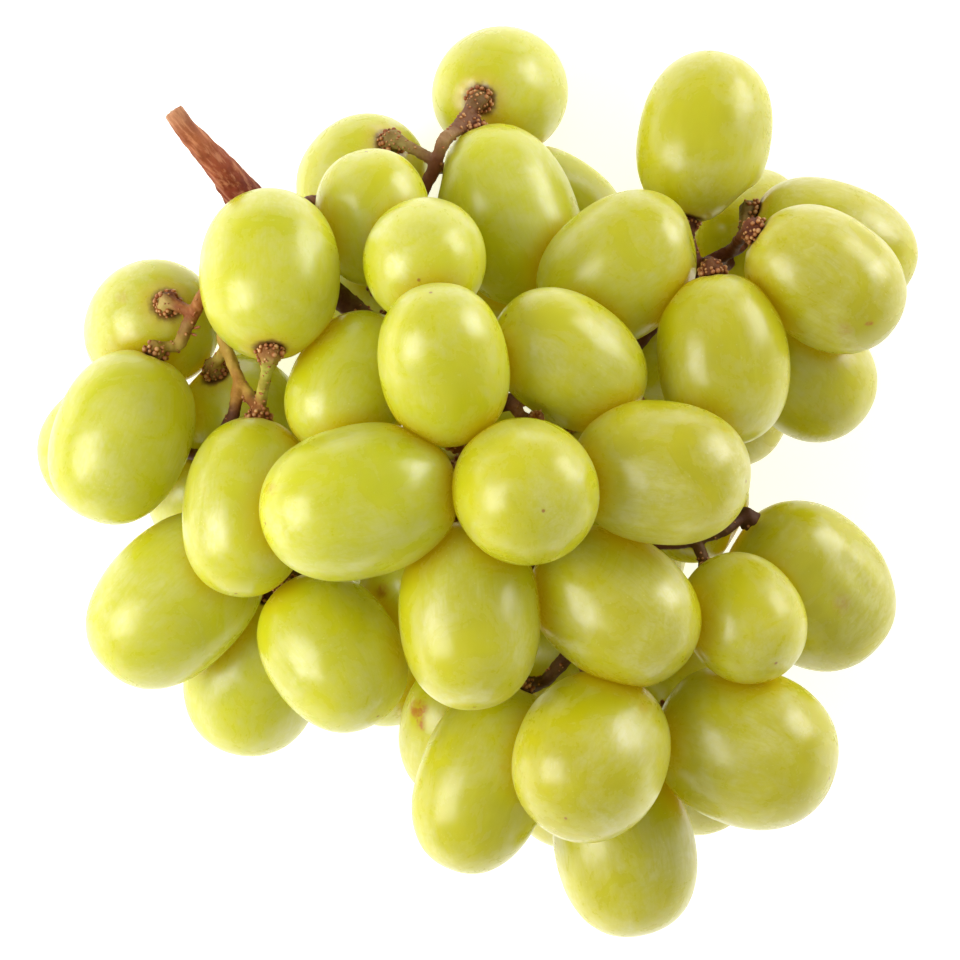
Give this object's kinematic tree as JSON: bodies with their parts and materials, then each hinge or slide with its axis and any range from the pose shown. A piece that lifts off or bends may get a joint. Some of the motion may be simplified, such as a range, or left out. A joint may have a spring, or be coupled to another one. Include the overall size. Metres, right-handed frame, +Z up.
{
  "type": "bunch of grapes",
  "caption": "Compact bunch of oval green seedless grapes on a branching woody stem with a short cut stalk, lying on its side.",
  "frame": {"origin": "on the surface the bunch lies on, under the middle of its bounding box", "axes": "+Z up from the surface through the thickness of the bunch, +Y along its longest extent away from the tail, with the cut stalk pointing to -X +Y"},
  "size_m": [0.1294, 0.134, 0.0737],
  "materials": {
    "berry_skin": "waxy translucent green grape skin with a faint bloom",
    "stem_wood": "matte red-brown fibrous stalk"
  },
  "bodies": {
    "root": {"stem": "stem_wood", "berry_upper_left_front": "berry_skin", "berry_left_top": "berry_skin", "berry_left_front": "berry_skin", "berry_left_back": "berry_skin", "berry_left_inner": "berry_skin", "berry_left_lower_back": "berry_skin", "berry_lower_left_front": "berry_skin", "berry_lower_left_tip": "berry_skin", "berry_lower_left_hanging": "berry_skin", "berry_lower_left_inner": "berry_skin", "berry_lower_shadow": "berry_skin", "berry_lower_sliver": "berry_skin", "berry_centre_left": "berry_skin", "berry_centre_top": "berry_skin", "berry_centre_right": "berry_skin", "berry_centre_low": "berry_skin", "berry_neck": "berry_skin", "berry_right_inner": "berry_skin", "berry_right_upper": "berry_skin", "berry_top_end_on": "berry_skin", "berry_top_inner": "berry_skin", "berry_top_left_back": "berry_skin", "berry_top_long": "berry_skin", "berry_top_right_back": "berry_skin", "berry_top": "berry_skin", "berry_top_right": "berry_skin", "berry_right_crown": "berry_skin", "berry_right_crown_back": "berry_skin", "berry_far_right_back": "berry_skin", "berry_far_right_front": "berry_skin", "berry_far_right_low": "berry_skin", "berry_right_front": "berry_skin", "berry_right_back": "berry_skin", "berry_lower_right_bright": "berry_skin", "berry_lower_right_back": "berry_skin", "berry_lower_right_inner": "berry_skin", "berry_lower_right_round": "berry_skin", "berry_lower_right_tip": "berry_skin", "berry_bottom_left": "berry_skin", "berry_bottom_left_back": "berry_skin", "berry_bottom_front": "berry_skin", "berry_bottom_dark": "berry_skin", "berry_bottom_right": "berry_skin", "berry_bottom_tip": "berry_skin", "berry_bottom_back": "berry_skin", "berry_top_shadow": "berry_skin", "berry_right_shadow": "berry_skin", "berry_neck_shadow": "berry_skin", "berry_under_left": "berry_skin", "berry_under_neck": "berry_skin", "berry_under_middle": "berry_skin", "berry_under_heart": "berry_skin", "berry_under_right": "berry_skin", "berry_under_core": "berry_skin", "berry_under_low": "berry_skin", "berry_under_tail": "berry_skin", "berry_under_tail_right": "berry_skin", "berry_under_top": "berry_skin", "berry_under_stalk": "berry_skin"}
  },
  "joints": []
}
